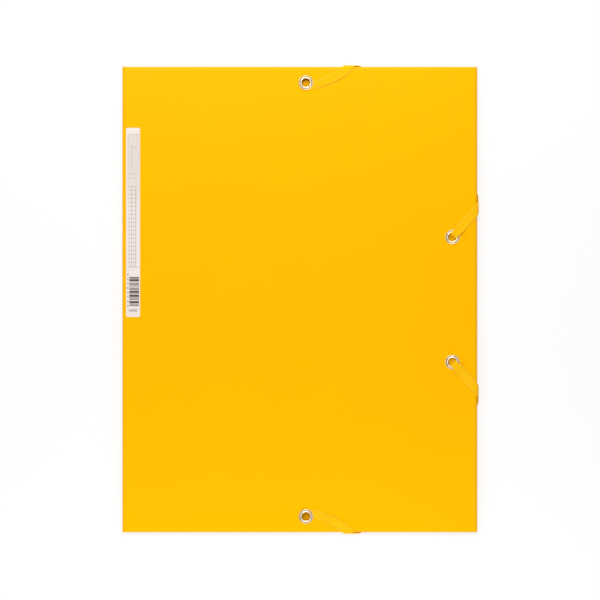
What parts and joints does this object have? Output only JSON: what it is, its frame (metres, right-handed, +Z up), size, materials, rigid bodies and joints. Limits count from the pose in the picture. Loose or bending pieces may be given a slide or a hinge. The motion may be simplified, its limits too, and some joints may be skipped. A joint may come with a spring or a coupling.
{
  "type": "three flap folder",
  "caption": "Flat card folder with a front cover, a back panel with three inner flaps, metal eyelets and one elastic that holds its corners shut.",
  "frame": {"origin": "centre of the bounding box's underside, which is the underside of the elastic's two front runs", "axes": "+Z up through the back panel, which has the eyelets; +Y towards the head edge; +X towards the opening edge, with the spine on the -X side"},
  "size_m": [0.2454, 0.3228, 0.0079],
  "materials": {
    "card": "smooth glazed yellow card, satin",
    "elastic": "ribbed flat woven elastic, yellow",
    "eyelet": "bright nickel plate",
    "label": "matt white adhesive paper with plain grey and dark brown rules and bars"
  },
  "bodies": {
    "front": {"front_cover": "card"},
    "back": {"back_panel_with_flaps": "card", "elastic_band": "elastic", "spine_label": "label", "eyelet_head": "eyelet", "eyelet_foot": "eyelet", "eyelet_side_upper": "eyelet", "eyelet_side_lower": "eyelet"}
  },
  "joints": [
    {"name": "cover_hinge", "type": "hinge", "parent": "front", "child": "back", "pos_m": [-0.1227, 0, 0.0035], "axis": [0, -1, 0], "range_deg": [0, 180], "deforming": ["elastic_band"]}
  ]
}
